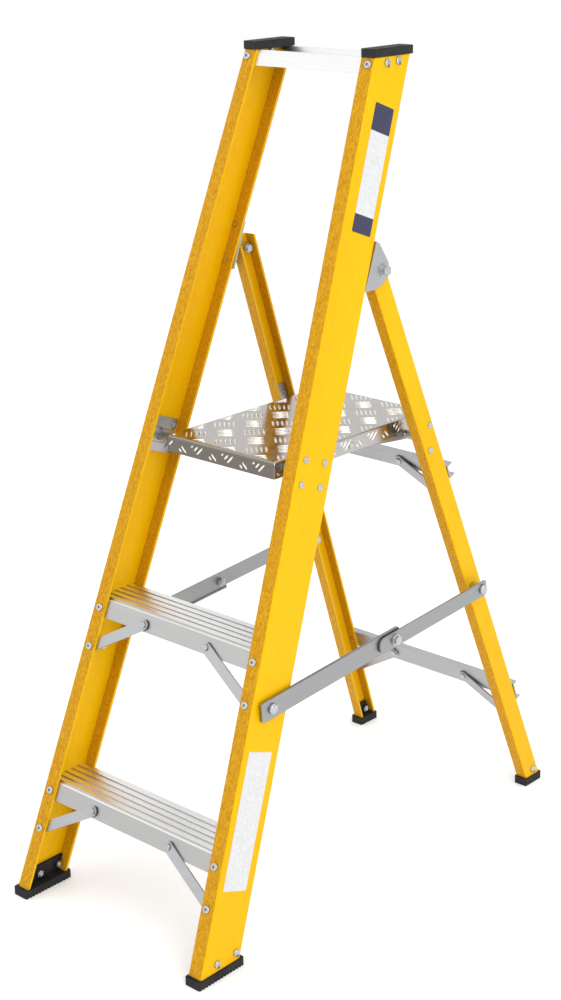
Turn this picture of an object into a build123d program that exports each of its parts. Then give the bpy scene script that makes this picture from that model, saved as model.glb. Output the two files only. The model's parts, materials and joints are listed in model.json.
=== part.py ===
from build123d import *
import math
import os

# Platform step ladder. Millimetres, +Z up, +Y towards the rear frame, +X to the user's right.
# The origin is on the floor, under the middle of the open ladder.

# ---- driving dimensions -------------------------------------------------------------------
SOLE = 12.0                 # thickness of the rubber soles: the stiles start this high
TOP = 1139.0                # height at which the front stiles are cut off, level

FRONT_LEAN = 0.3823         # rearward run of the front stiles for each mm of height
REAR_LEAN = -0.3811         # the same for the rear stiles, which lean forward
FRONT_TAPER = 0.060         # how much each front stile comes in for each mm of height
REAR_TAPER = 0.0607
FRONT_HALF = 182.9          # half of the outer width of the front frame, carried down to the floor
REAR_HALF = 177.6
REAR_FOOT_Y = 733.8         # front face of the rear stiles at the top of their soles
Y_SHIFT = 383.2             # moves the model so that the origin is under its middle

STILE_DEPTH = 73.7          # front stile, front face to back face, measured level
STILE_FLANGE = 22.2
STILE_WALL = 4.0
REAR_DEPTH = 34.6
REAR_FLANGE = 18.0
REAR_WALL = 3.2
REAR_TOP = 886.0

TREAD_TOPS = (160.4, 411.7)
TREAD_FACE = 24.5           # height of the tread's front wall
TREAD_WALL = 2.5
TREAD_SEAT = 0.3            # between the stile's front flange and the tread
TREAD_REAR_FACE = 20.0
TREAD_DECK = 3.0
TREAD_BEVEL = 1.5
TREAD_LIP = 3.0             # thickness and reach of the lip under the front wall
TREAD_LIP_REACH = 7.0
TREAD_RIBS = 5
TREAD_RIB_HEIGHT = 1.8
TREAD_RIB_START = 4.0
TREAD_RIB_MARGIN = 2.5
TREAD_GROOVE = 3.6

HINGE = (431.0, 866.0)      # y, z of the rear frame's hinge
PLATFORM_PIVOT = (269.0, 626.4)
LINK_PLATFORM = (400.0, 624.4)
LINK_REST = (523.0, 611.6)
STAY_FRONT = (158.9, 338.5)
STAY_REAR = (610.8, 368.8)
STAY_MIDDLE_SHARE = 0.5512  # how far along the stay its middle pivot lies

PLATFORM_TOP = 638.0
PLATFORM_HALF = 100.0
PLATFORM_FRONT = 244.0
PLATFORM_REAR = 565.0
PLATFORM_SIDE = 23.0        # depth of the folded sides
PLATE = 2.4                 # thickness of the checker plate

GAP = 0.35                  # clearance between parts that move past each other
RUNNING = 0.05              # radial clearance of a pin in its hole
SNUG = 0.1                  # radial clearance of a fixed screw in its hole
SEAT = 0.15                 # between a plate and the wall that it is fastened to
LEVEL = math.hypot(1, FRONT_LEAN)   # level thickness of a wall 1 mm thick that leans with the stile

SCREW = 2.9                 # shank radii
RIVET = 2.4
STAY_BOLT = 4.0
PIVOT_BOLT = 4.0
HINGE_BOLT = 5.0
LINK_PIN = 3.0

HOLE_DEPTH = 12.0           # how far a drilled hole runs on from the surface that it starts at
HOLE_LEAD = 4.0             # how far outside that surface it begins
GRIP_SLACK = 0.6            # what a fastener's grip adds to the walls that it holds
CROWN_SHARE = 0.6           # part of a head's height that its rounded crown takes
RIVET_HEAD = 4.6            # radii and heights of heads, tails and nuts
WIDE_RIVET_HEAD = 5.0
RIVET_HEAD_HEIGHT = 2.2
RIVET_TAIL = 1.6
RIVET_TAIL_SHARE = 1.45     # a formed tail's radius, as a share of the shank's
SCREW_HEAD = 5.4
SCREW_HEAD_HEIGHT = 3.0
SCREW_TAIL = 6.5
SCREW_NUT = 5.6
SCREW_NUT_HEIGHT = 4.6

SOLE_CLEAR = 0.2            # between a sole and the stile that stands on it
TONGUE_ROOT = 0.4           # how far a shoe's tongue starts below the stile's end
SOLE_GROOVE_START = 5.5
SOLE_GROOVE_PITCH = 5.7
SOLE_GROOVE_WIDTH = 2.2
SOLE_GROOVE_DEPTH = 2.3
CORNER = 3.0                # rounding of the moulded and pultruded corners

SIDES = {"left": -1, "right": 1}
X = Vector(1, 0, 0)


# ---- the two leaning frames ---------------------------------------------------------------
def front_x(z):
    """Outer half width of the front frame at height z."""
    return FRONT_HALF - FRONT_TAPER * z


def front_y(z, inset=0.0):
    """Front face of the front stiles at height z, plus a level inset to the rear."""
    return FRONT_LEAN * (z - SOLE) + inset


def rear_x(z):
    return REAR_HALF - REAR_TAPER * z


def rear_y(z, inset=0.0):
    return REAR_FOOT_Y + REAR_LEAN * (z - SOLE) + inset


def front_point(side, inset_x, inset_y, z):
    return Vector(side * (front_x(z) - inset_x), front_y(z, inset_y), z)


def rear_point(side, inset_x, inset_y, z):
    return Vector(side * (rear_x(z) - inset_x), rear_y(z, inset_y), z)


def front_run(side):
    """Direction of a front stile, for one mm of height."""
    return Vector(-side * FRONT_TAPER, FRONT_LEAN, 1)


def rear_run(side):
    return Vector(-side * REAR_TAPER, REAR_LEAN, 1)


def front_web_inward(side):
    """Square to a front stile's web, pointing into the ladder."""
    return Vector(-side, 0, -FRONT_TAPER).normalized()


def rear_web_inward(side):
    return Vector(-side, 0, -REAR_TAPER).normalized()


FRONT_NORMAL = Vector(0, 1, -FRONT_LEAN).normalized()
REAR_NORMAL = Vector(0, 1, -REAR_LEAN).normalized()


def leaning(section, run, height):
    """Extrude a level section along a leaning direction, up to the given height above it."""
    return extrude(section, amount=height * run.length, dir=run.normalized())


def polygon(points):
    """Flat face from its corner points."""
    return make_face(Polyline(points, close=True))


def level_box(x0, x1, y0, y1, z):
    return polygon([Vector(x0, y0, z), Vector(x1, y0, z), Vector(x1, y1, z), Vector(x0, y1, z)])


def spanning(profile, half):
    """Extrude a profile that lies in the middle plane to both sides of it."""
    return extrude(profile, amount=half, dir=X) + extrude(profile, amount=half, dir=X * -1)


# ---- small shapes -------------------------------------------------------------------------
def rod(start, direction, length, radius):
    """Cylinder from a point, along a direction."""
    return extrude(Plane(start, z_dir=direction) * Circle(radius), amount=length)


def dome(start, direction, radius, height):
    """Pan head: a low cone-edged disc with a rounded crown, standing on a surface."""
    disc = rod(start, direction, height, radius)
    crown = disc.faces().sort_by(Axis(start, direction))[-1]
    return fillet(crown.edges(), height * CROWN_SHARE)


def nut(start, direction, radius, height, bore):
    outline = Plane(start, z_dir=direction) * (RegularPolygon(radius, 6) - Circle(bore))
    return extrude(outline, amount=height)


def rivet(outside, direction, grip, head=RIVET_HEAD):
    """Dome head at the outside point, shank through the grip, and a formed tail beyond it."""
    shank = rod(outside, direction, grip + RIVET_TAIL, RIVET)
    tail = rod(outside + direction * grip, direction, RIVET_TAIL, RIVET * RIVET_TAIL_SHARE)
    return dome(outside, direction * -1, head, RIVET_HEAD_HEIGHT) + shank + tail


def screw(outside, direction, grip):
    """Pan-head screw with a hexagon nut on its far end, as one fixed fastener."""
    shank = rod(outside, direction, grip + SCREW_TAIL, SCREW)
    end_nut = nut(outside + direction * (grip + SNUG), direction, SCREW_NUT, SCREW_NUT_HEIGHT, SCREW)
    return dome(outside, direction * -1, SCREW_HEAD, SCREW_HEAD_HEIGHT) + shank + end_nut


def bar(start, end, normal, width, thickness, holes=()):
    """Flat bar with round ends between two points on its middle plane."""
    along = end - start
    frame = Plane(origin=(start + end) * 0.5 - normal * (thickness / 2), x_dir=along, z_dir=normal)
    blank = extrude(frame * SlotCenterToCenter(along.length, width), amount=thickness)
    for where, radius in holes:
        blank -= rod(where - normal * thickness * 2, normal, thickness * 4, radius)
    return blank


def ribbed_sole(x0, x1, y0, y1, grooves):
    """Rubber block from the floor up to the stile, with grooves across its underside."""
    height = SOLE - SOLE_CLEAR
    middle = (x0 + x1) / 2
    body = Pos(middle, (y0 + y1) / 2, height / 2) * Box(x1 - x0, y1 - y0, height)
    body = fillet(body.edges().filter_by(Axis.Z), CORNER)
    for number in range(grooves):
        y = y0 + SOLE_GROOVE_START + number * SOLE_GROOVE_PITCH
        body -= Pos(middle, y, 0) * Box(x1 - x0 + 2, SOLE_GROOVE_WIDTH, 2 * SOLE_GROOVE_DEPTH)
    return body


def drilled(blank, holes):
    """Cut round holes through a wall, each given as (outside point, direction, radius)."""
    for outside, direction, radius in holes:
        blank -= rod(outside - direction * HOLE_LEAD, direction, HOLE_DEPTH + HOLE_LEAD, radius)
    return blank


def mirrored(shape):
    return mirror(shape, Plane.YZ)


parts = {}


def keep(name, shape):
    """Store one node, moved so that the origin is under the middle of the ladder."""
    parts[name] = Pos(0, -Y_SHIFT, 0) * shape


def pair(make):
    """The same piece on both sides of the ladder, as one group of separate solids."""
    return Compound(children=[make(side) for side in SIDES.values()])


# ---- fastener positions, for the right side ------------------------------------------------
TREAD_SCREW_DROP = 11.3     # below the tread's top
BRACE_SCREW_DROP = 64.0
BRACE_RIVET_X = {0: 74.5, 1: 59.5}
BRACE_RIVET_DROP = 14.0
FLANGE_SCREW_INSET = 13.0
RAIL_BOTTOM = 1118.5
RAIL_WALL = 2.2

RAIL_SCREW_INSET = 9.0
RAIL_SCREW_Z = 1130.4

BRACE_THICK = 2.5
BRACE_WIDTH = 15.0
BRACE_HOLE = 0.35           # radial clearance in the braces' punched holes, which lie askew
BRACE_HEAD_GAP = 0.45       # the braces slope a little between the tread and the flange
BRACE_FLANGE_GAP = 0.75
BRACE_GRIP_SLACK = 0.25
TREAD_BRACE_GRIP = 7.0

WEB_BOLTS = {               # y, z of the level bolts and rivets through the front stile's web
    "rail": ((455.0, 1131.0), (478.0, 1132.0)),
    "bracket": ((257.2, 647.9), (293.1, 635.3), (245.6, 617.3), (280.9, 605.2)),
    "foot": ((31.0, 22.5), (66.5, 22.5)),
}


def tread_screws(side):
    """Screws through the front flange into the tread's front wall, each with its grip."""
    grip = STILE_WALL * LEVEL + TREAD_WALL + TREAD_SEAT
    return [(front_point(side, FLANGE_SCREW_INSET, 0, top - TREAD_SCREW_DROP), grip)
            for top in TREAD_TOPS]


def brace_screws(side):
    grip = STILE_WALL * LEVEL + BRACE_THICK + BRACE_FLANGE_GAP + BRACE_GRIP_SLACK
    return [(front_point(side, FLANGE_SCREW_INSET, 0, top - BRACE_SCREW_DROP), grip)
            for top in TREAD_TOPS]


def rail_screw(side):
    return front_point(side, RAIL_SCREW_INSET, 0, RAIL_SCREW_Z)


def web_bolts(side, group):
    """Places on the outside of the front stile's web."""
    return [Vector(side * front_x(z), y, z) for y, z in WEB_BOLTS[group]]


HINGE_RIVETS = (899.5, 852.0)
HINGE_RIVET_INSET = 10.5
HINGE_LEG = 3.0
HINGE_RIVET_STAND = 0.35    # the level leg leans a little against the square rivets
HINGE_RIVET_GRIP = 7.55


def hinge_rivet(side, z):
    return front_point(side, HINGE_RIVET_INSET, STILE_DEPTH + HINGE_LEG, z)


# ---- front frame --------------------------------------------------------------------------
CAP_HEIGHT = 11.0
CAP_MARGIN = 1.5            # how far the cap stands out past the stile
CAP_INNER_MARGIN = 1.0
CAP_GROOVE_START = 6.0
CAP_OVERHANG = 5.0
CAP_GROOVES = 15
CAP_GROOVE = 1.8
CAP_GROOVE_PITCH = 4.9
CAP_GROOVE_DEPTH = 1.2
FRONT_SOLE = (-5.5, 79.0)   # front and back edge of the front sole
FRONT_SOLE_MARGIN = 2.6
FRONT_SOLE_GROOVES = 14
FRONT_TONGUE = 5.0          # thickness and height of the tongue inside the web
FRONT_TONGUE_HEIGHT = 21.0
TONGUE_CLEAR = 0.4          # between the tongue and the flanges


def channel(x_outer, flange, y_front, depth, wall, z, side):
    """Level section of a channel whose web is outside and whose flanges point inward."""
    outer = level_box(x_outer - flange, x_outer, y_front, y_front + depth, z)
    flange_wall = wall * LEVEL
    hollow = level_box(x_outer - flange - 1, x_outer - wall, y_front + flange_wall,
                       y_front + depth - flange_wall, z)
    outer_edges = outer.vertices().filter_by(lambda v: abs(v.X - x_outer) < 1e-3)
    shape = fillet(outer_edges, CORNER) - hollow
    return shape if side > 0 else mirrored(shape)


def front_stile(side):
    section = channel(front_x(SOLE), STILE_FLANGE, 0, STILE_DEPTH, STILE_WALL, SOLE, side)
    blank = leaning(section, front_run(side), TOP - SOLE)
    inward = X * -side
    flange_screws = [p for p, _ in tread_screws(side) + brace_screws(side)] + [rail_screw(side)]
    holes = [(p, FRONT_NORMAL, SCREW + SNUG) for p in flange_screws]
    holes += [(hinge_rivet(side, z), FRONT_NORMAL * -1, RIVET + SNUG) for z in HINGE_RIVETS]
    holes.append((Vector(side * front_x(STAY_FRONT[1]), *STAY_FRONT), inward, STAY_BOLT + SNUG))
    for group in WEB_BOLTS:
        radius = RIVET if group == "bracket" else SCREW
        holes += [(p, front_web_inward(side), radius + SNUG) for p in web_bolts(side, group)]
    return drilled(blank, holes)


def tread(top):
    """Ribbed extrusion: a leaning front and back wall joined by a thick, ribbed top."""
    front = STILE_WALL * LEVEL + TREAD_SEAT
    back = STILE_DEPTH - front
    half = front_x(top) - STILE_WALL - 2 * SNUG
    wall = TREAD_WALL * LEVEL
    low = top - TREAD_FACE
    lip = low + TREAD_LIP
    floor = top - TREAD_DECK
    rear_low = top - TREAD_REAR_FACE
    corners = [(front, low), (front, top - TREAD_BEVEL), (front + TREAD_BEVEL, top), (back, top),
               (back, rear_low), (back - wall, rear_low), (back - wall, floor), (front + wall, floor),
               (front + wall, lip), (front + TREAD_LIP_REACH, lip), (front + TREAD_LIP_REACH, low)]
    body = spanning(polygon([Vector(0, front_y(z, inset), z) for inset, z in corners]), half)
    pitch = (back - front - 2 * TREAD_RIB_MARGIN) / TREAD_RIBS
    rib = pitch - TREAD_GROOVE
    for number in range(TREAD_RIBS):
        middle = front_y(top, front + TREAD_RIB_START + number * pitch) + rib / 2
        body += Pos(0, middle, top + TREAD_RIB_HEIGHT / 2) * Box(2 * half, rib, TREAD_RIB_HEIGHT)
    return body


def tread_holes(index, top):
    holes = []
    for side in SIDES.values():
        place, _ = tread_screws(side)[index]
        holes.append((place, FRONT_NORMAL, SCREW + SNUG))
        holes.append((brace_rivet(side, index, top), FRONT_NORMAL, RIVET + SNUG))
    return holes


def brace_rivet(side, index, top):
    z = top - BRACE_RIVET_DROP
    return Vector(side * BRACE_RIVET_X[index], front_y(z), z)


def tread_brace(side, index, top):
    """Flat bar from the tread's front wall down to the inside of the stile's front flange."""
    start = brace_rivet(side, index, top) + FRONT_NORMAL * (BRACE_HEAD_GAP + BRACE_THICK / 2)
    screw_place = brace_screws(side)[index][0]
    end = screw_place + FRONT_NORMAL * (STILE_WALL + BRACE_FLANGE_GAP + BRACE_THICK / 2)
    along = (end - start).normalized()
    normal = (FRONT_NORMAL - along * FRONT_NORMAL.dot(along)).normalized()
    return bar(start, end, normal, BRACE_WIDTH, BRACE_THICK,
               holes=[(start, RIVET + BRACE_HOLE), (end, SCREW + BRACE_HOLE)])


def top_rail():
    """Channel open upwards between the stile tops."""
    front = STILE_WALL * LEVEL + SNUG
    back = STILE_DEPTH - front
    half = front_x(TOP) - STILE_WALL - 2 * SNUG
    wall = RAIL_WALL * LEVEL
    floor = RAIL_BOTTOM + RAIL_WALL
    corners = [(front, TOP), (front, RAIL_BOTTOM), (back, RAIL_BOTTOM), (back, TOP),
               (back - wall, TOP), (back - wall, floor), (front + wall, floor), (front + wall, TOP)]
    body = spanning(polygon([Vector(0, front_y(z, inset), z) for inset, z in corners]), half)
    return drilled(body, [(rail_screw(side), FRONT_NORMAL, SCREW + SNUG) for side in SIDES.values()])


def top_cap(side):
    """Ribbed plastic cap over the end of a front stile."""
    outer = side * (front_x(TOP) + CAP_MARGIN)
    inner = side * (front_x(TOP) - STILE_FLANGE - CAP_INNER_MARGIN)
    middle = (outer + inner) / 2
    width = abs(outer - inner)
    y0 = front_y(TOP) - CAP_MARGIN
    foot = TOP + SNUG
    y1 = front_y(TOP, STILE_DEPTH) + CAP_OVERHANG
    body = Pos(middle, (y0 + y1) / 2, foot + CAP_HEIGHT / 2) * Box(width, y1 - y0, CAP_HEIGHT)
    body = fillet(body.edges().filter_by(Axis.Z), CORNER)
    groove = Box(width + 2, CAP_GROOVE, 2 * CAP_GROOVE_DEPTH)
    for number in range(CAP_GROOVES):
        body -= Pos(middle, y0 + CAP_GROOVE_START + number * CAP_GROOVE_PITCH, foot + CAP_HEIGHT) * groove
    return body


def front_foot(side):
    """Rubber shoe: a ribbed sole under the stile and a tongue bolted inside its web."""
    outer = front_x(SOLE) + FRONT_SOLE_MARGIN
    inner = front_x(SOLE) - STILE_FLANGE - FRONT_SOLE_MARGIN
    body = ribbed_sole(inner, outer, *FRONT_SOLE, grooves=FRONT_SOLE_GROOVES)
    x1 = front_x(SOLE) - STILE_WALL - SEAT
    y0 = STILE_WALL * LEVEL + TONGUE_CLEAR
    section = level_box(x1 - FRONT_TONGUE, x1, y0, STILE_DEPTH - y0, SOLE - TONGUE_ROOT)
    body += leaning(section, front_run(1), FRONT_TONGUE_HEIGHT)
    body = body if side > 0 else mirrored(body)
    inward = front_web_inward(side)
    return drilled(body, [(p, inward, SCREW + SNUG) for p in web_bolts(side, "foot")])


BRACKET_PLATE = 2.5
BRACKET_ACROSS = 54.0
BRACKET_ALONG = 50.0
BRACKET_STRIP = 13.0        # height of the raised strips along its top and bottom
BRACKET_STRIP_PROUD = 2.0
BOSS_RADIUS = 9.0
BOSS_ROOT = 0.5             # how far the boss reaches back into its plate
PIVOT_HOLE = 25.0           # depth of the hole in the boss
PIVOT_BOLT_GRIP = 22.0      # how far the pivot bolt reaches into the boss
PIVOT_HEAD = 7.0
PIVOT_HEAD_HEIGHT = 4.5


def platform_bracket(side):
    """Riveted plate inside the stile, with raised edges and a boss that reaches the platform."""
    y, z = PLATFORM_PIVOT
    seat_x = front_x(z) - STILE_WALL - SEAT
    frame = Plane(origin=Vector(side * seat_x, y, z), x_dir=Vector(0, 1, -FRONT_LEAN),
                  z_dir=Vector(-side, 0, -FRONT_TAPER))
    body = extrude(frame * Rectangle(BRACKET_ACROSS, BRACKET_ALONG), amount=BRACKET_PLATE)
    for end in (-1, 1):
        middle = end * (BRACKET_ALONG - BRACKET_STRIP) / 2
        strip = Pos(0, middle, BRACKET_PLATE) * Rectangle(BRACKET_ACROSS, BRACKET_STRIP)
        body += extrude(frame * strip, amount=BRACKET_STRIP_PROUD)
    root_x = seat_x - BRACKET_PLATE + BOSS_ROOT
    tip_x = PLATFORM_HALF + GAP
    inward = X * -side
    body += rod(Vector(side * root_x, y, z), inward, root_x - tip_x, BOSS_RADIUS)
    body -= rod(Vector(side * (tip_x + PIVOT_HOLE), y, z), inward, PIVOT_HOLE + 1, PIVOT_BOLT + SNUG)
    return drilled(body, [(p, front_web_inward(side), RIVET + SNUG) for p in web_bolts(side, "bracket")])


def platform_pivot(side):
    """Pivot bolt: held in the bracket's boss, with its head inside the platform's side."""
    outer = PLATFORM_HALF + PIVOT_BOLT_GRIP
    inner = PLATFORM_HALF - PLATE - GAP
    inward = X * -side
    shank = rod(Vector(side * outer, *PLATFORM_PIVOT), inward, outer - inner, PIVOT_BOLT)
    return shank + dome(Vector(side * inner, *PLATFORM_PIVOT), inward, PIVOT_HEAD, PIVOT_HEAD_HEIGHT)


GUSSET_PLATE = 3.0
GUSSET_LOW = 843.0
GUSSET_HIGH = 906.0
GUSSET_CLEAR = 0.05         # between the gusset's leg and the back of the front stile
GUSSET_LEG_INNER = 107.5
HINGE_WASHER = 1.5          # thickness of the two washers, then the radii of the bolt's pieces
HINGE_OUTER_WASHER = 9.5
HINGE_INNER_WASHER = 7.3
HINGE_HEAD = 7.6
HINGE_HEAD_HEIGHT = 5.0
HINGE_NUT = 7.2
HINGE_NUT_HEIGHT = 5.6
HINGE_TAIL = 9.5            # how far the bolt reaches past the rear stile's web
NUT_OVERLAP = 0.1           # nuts overlap their bolt a little, so that they join it
HINGE_NUT_CLEAR = 0.9       # the stile's web leans in above the bolt, past its level washer
GUSSET_X = 128.3            # inner face of the gusset's plate; the stile below it is wider, and swings past


def hinge_gusset(side):
    """Angle bracket: one leg riveted behind the front stile, one plate beside the rear stile."""
    def back(z, thick=0.0):
        return front_y(z, STILE_DEPTH + GUSSET_CLEAR + thick * LEVEL)

    low, high = GUSSET_LOW, GUSSET_HIGH
    outline = [(back(low), low), (413.0, low), (429.0, 848.0), (440.5, 860.0), (440.5, 875.0),
               (421.0, 903.5), (back(high), high)]
    plate = polygon([Vector(side * GUSSET_X, y, z) for y, z in outline])
    body = extrude(plate, amount=GUSSET_PLATE, dir=X * side)
    root = GUSSET_X + 1
    outline = [(back(low), low), (back(low, HINGE_LEG), low), (back(high, HINGE_LEG), high),
               (back(high), high)]
    leg = polygon([Vector(side * root, y, z) for y, z in outline])
    body += extrude(leg, amount=root - GUSSET_LEG_INNER, dir=X * -side)
    forward = FRONT_NORMAL * -1
    holes = [(hinge_rivet(side, z), forward, RIVET + SNUG) for z in HINGE_RIVETS]
    holes.append((Vector(side * (GUSSET_X + GUSSET_PLATE), *HINGE), X * -side, HINGE_BOLT + SNUG))
    return drilled(body, holes)


def hinge_pin(side):
    """Hinge bolt: head and washer outside the gusset, lock nut inside the rear stile."""
    outer = GUSSET_X + GUSSET_PLATE
    web_inner = rear_x(HINGE[1]) - REAR_WALL
    outward = X * side
    inward = outward * -1
    start = Vector(side * outer, *HINGE)
    body = rod(start, outward, HINGE_WASHER, HINGE_OUTER_WASHER)
    head = Plane(start + outward * HINGE_WASHER, z_dir=outward) * RegularPolygon(HINGE_HEAD, 6)
    body += extrude(head, amount=HINGE_HEAD_HEIGHT)
    body += rod(start, inward, outer - web_inner + HINGE_TAIL + HINGE_NUT_CLEAR, HINGE_BOLT)
    nut_face = Vector(side * web_inner, *HINGE) + inward * (HINGE_WASHER + HINGE_NUT_CLEAR)
    body += rod(nut_face, outward, HINGE_WASHER, HINGE_INNER_WASHER)
    return body + nut(nut_face, inward, HINGE_NUT, HINGE_NUT_HEIGHT, HINGE_BOLT - NUT_OVERLAP)


LABEL = 0.3                 # thickness of the stickers
LABEL_STAND = 0.02
LABEL_CORNER = 2.0
LABELS = {                  # y, z of the middle, then width and length
    "upper": ((417.2, 998.9), 38.0, 169.0),
    "lower": ((104.9, 196.5), 44.5, 185.0),
}


def label(centre, across, along):
    """Plain sticker on the outside of the right stile's web."""
    y, z = centre
    frame = Plane(origin=Vector(front_x(z) + LABEL_STAND, y, z), x_dir=Vector(0, 1, -FRONT_LEAN),
                  z_dir=Vector(1, 0, FRONT_TAPER))
    return extrude(frame * RectangleRounded(across, along, LABEL_CORNER), amount=LABEL)


def build_front_frame():
    for name, side in SIDES.items():
        keep(f"front_stile_{name}", front_stile(side))
        keep(f"top_cap_{name}", top_cap(side))
        keep(f"front_foot_{name}", front_foot(side))
        keep(f"platform_bracket_{name}", platform_bracket(side))
        keep(f"hinge_gusset_{name}", hinge_gusset(side))
        keep(f"hinge_bolt_{name}", hinge_pin(side))
    for index, (name, top) in enumerate(zip(("lower", "middle"), TREAD_TOPS)):
        keep(f"tread_{name}", drilled(tread(top), tread_holes(index, top)))
        for side_name, side in SIDES.items():
            keep(f"tread_brace_{name}_{side_name}", tread_brace(side, index, top))
    keep("platform_pivot_bolts", pair(platform_pivot))
    keep("top_rail", top_rail())
    for name, measures in LABELS.items():
        keep(f"label_{name}", label(*measures))


def build_front_fasteners():
    groups = {name: [] for name in ("flange_screws", "tread_brace_rivets", "bracket_rivets",
                                    "hinge_rivets", "rail_bolts", "front_foot_bolts")}
    for side in SIDES.values():
        inward = front_web_inward(side)
        bracket_grip = STILE_WALL + BRACKET_PLATE + BRACKET_STRIP_PROUD + GRIP_SLACK
        for place, grip in tread_screws(side) + brace_screws(side):
            groups["flange_screws"].append(screw(place, FRONT_NORMAL, grip))
        groups["flange_screws"].append(screw(rail_screw(side), FRONT_NORMAL, STILE_WALL * LEVEL + RAIL_WALL))
        for index, top in enumerate(TREAD_TOPS):
            brace = rivet(brace_rivet(side, index, top), FRONT_NORMAL, TREAD_BRACE_GRIP, WIDE_RIVET_HEAD)
            groups["tread_brace_rivets"].append(brace)
        for place in web_bolts(side, "bracket"):
            groups["bracket_rivets"].append(rivet(place, inward, bracket_grip))
        for z in HINGE_RIVETS:
            place = hinge_rivet(side, z) + FRONT_NORMAL * HINGE_RIVET_STAND
            groups["hinge_rivets"].append(rivet(place, FRONT_NORMAL * -1, HINGE_RIVET_GRIP))
        for place in web_bolts(side, "rail"):
            groups["rail_bolts"].append(screw(place, inward, STILE_WALL))
        for place in web_bolts(side, "foot"):
            groups["front_foot_bolts"].append(screw(place, inward, STILE_WALL + FRONT_TONGUE + GRIP_SLACK))
    for name, pieces in groups.items():
        keep(name, Compound(children=pieces))


# ---- platform -----------------------------------------------------------------------------
LINK_THICK = 3.0
LINK_WIDTH = 14.0
LINK_PIN_HEAD = 5.0
LINK_PIN_HEAD_HEIGHT = 2.4
LINK_PIN_TAIL = 2.0
TRAY_FRONT_BEND = 6.0
TRAY_INNER_BEND = 4.0
TRAY_SIDE_BEND = 3.0
STIFFENER_Y = 470.0
STIFFENER_HEIGHT = 16.0
STIFFENER_FLANGE = 18.0
STIFFENER_WALL = 2.0
STIFFENER_CLEAR = 3.5       # between its ends and the lifting links


def top_edges(block, axis):
    """The highest edges of a block that run along an axis."""
    return block.edges().filter_by(axis).group_by(Axis.Z)[-1]


def platform_tray():
    """Checker plate folded down along its front and both sides, open at the back."""
    length = PLATFORM_REAR - PLATFORM_FRONT
    middle = (PLATFORM_REAR + PLATFORM_FRONT) / 2
    centre_z = PLATFORM_TOP - PLATFORM_SIDE / 2
    block = Pos(0, middle, centre_z) * Box(2 * PLATFORM_HALF, length, PLATFORM_SIDE)
    block = fillet(top_edges(block, Axis.X).sort_by(Axis.Y)[0:1], TRAY_FRONT_BEND)
    block = fillet(top_edges(block, Axis.Y), TRAY_SIDE_BEND)
    inner = 2 * (PLATFORM_HALF - PLATE)
    hollow = Pos(0, middle + PLATE, centre_z - PLATE) * Box(inner, length, PLATFORM_SIDE)
    hollow = fillet(top_edges(hollow, Axis.X).sort_by(Axis.Y)[0:1], TRAY_INNER_BEND)
    pivots = ((PLATFORM_PIVOT, PIVOT_BOLT + RUNNING), (LINK_PLATFORM, LINK_PIN + SNUG))
    holes = [(Vector(side * PLATFORM_HALF, *place), X * -side, radius)
             for side in SIDES.values() for place, radius in pivots]
    return drilled(block - hollow, holes)


def platform_stiffener():
    """Folded strip across the underside of the tray."""
    under = PLATFORM_TOP - PLATE - SNUG
    width = 2 * (PLATFORM_HALF - PLATE - LINK_THICK - STIFFENER_CLEAR)
    web = Pos(0, STIFFENER_Y, under - STIFFENER_HEIGHT / 2) * Box(width, STIFFENER_WALL, STIFFENER_HEIGHT)
    flange_y = STIFFENER_Y + (STIFFENER_FLANGE - STIFFENER_WALL) / 2
    flange = Pos(0, flange_y, under - STIFFENER_WALL / 2) * Box(width, STIFFENER_FLANGE, STIFFENER_WALL)
    return web + flange


def link_pin(side):
    """Rivet through the tray's side that carries the lifting link."""
    start = Vector(side * PLATFORM_HALF, *LINK_PLATFORM)
    inward = X * -side
    inner = PLATE + GAP + LINK_THICK + GAP
    body = dome(start, X * side, LINK_PIN_HEAD, LINK_PIN_HEAD_HEIGHT)
    body += rod(start, inward, inner + LINK_PIN_TAIL, LINK_PIN)
    return body + rod(start + inward * inner, inward, LINK_PIN_TAIL, LINK_PIN_HEAD)


def lifting_link(side):
    """Flat link that pushes the platform up as the rear frame closes."""
    x = side * (PLATFORM_HALF - PLATE - GAP - LINK_THICK / 2)
    start = Vector(x, *LINK_PLATFORM)
    end = Vector(x, *LINK_REST)
    holes = [(start, LINK_PIN + RUNNING), (end, LINK_PIN + GAP)]
    return bar(start, end, X, LINK_WIDTH, LINK_THICK, holes)


def build_platform():
    keep("platform_tray", platform_tray())
    keep("platform_stiffener", platform_stiffener())
    for name, side in SIDES.items():
        keep(f"lifting_link_{name}", lifting_link(side))
    keep("lifting_link_pins", pair(link_pin))


# ---- rear frame ---------------------------------------------------------------------------
REAR_BRACES = {"upper": (544.5, 564.5, 12.0), "lower": (153.0, 182.0, 9.0)}
BRACE_WALL = 2.4
# for each brace: x and z of its diagonals' upper ends, then inset and z of their lower ends
DIAGONALS = {"upper": ((56.0, 554.5), (12.2, 510.0)), "lower": ((70.0, 166.0), (12.2, 112.0))}
DIAGONAL_WIDTH = 16.0
DIAGONAL_THICK = 2.5
WEDGE_LOW = 800.0           # the wedge that clears the rear stiles' tops, and what it is wide and deep
WEDGE_HIGH = 900.0
WEDGE_GAP = 4.6
WEDGE_DEPTH = 130.0
WEDGE_HALF = 200.0
REST_RIVETS = ((523.5, 632.5), (522.5, 596.4))
REST_LOW = 585.0
REST_HIGH = 648.0
REST_PLATE = 3.0
REST_PLATE_ACROSS = 26.4
REST_COLLAR = 6.0           # radius of the spacer on the pin, and its distance from the tray
REST_COLLAR_CLEAR = 2.0
REST_MARGIN = 0.3           # between the plate and the flanges
REST_ROOT = 1.0             # how far the pin starts inside the plate
REAR_FOOT_BOLT = (751.0, 22.0)
REAR_SOLE_MARGIN = 2.4
REAR_SOLE_PROUD = 3.5
REAR_SOLE_GROOVES = 6
REAR_TONGUE = 4.0
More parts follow.
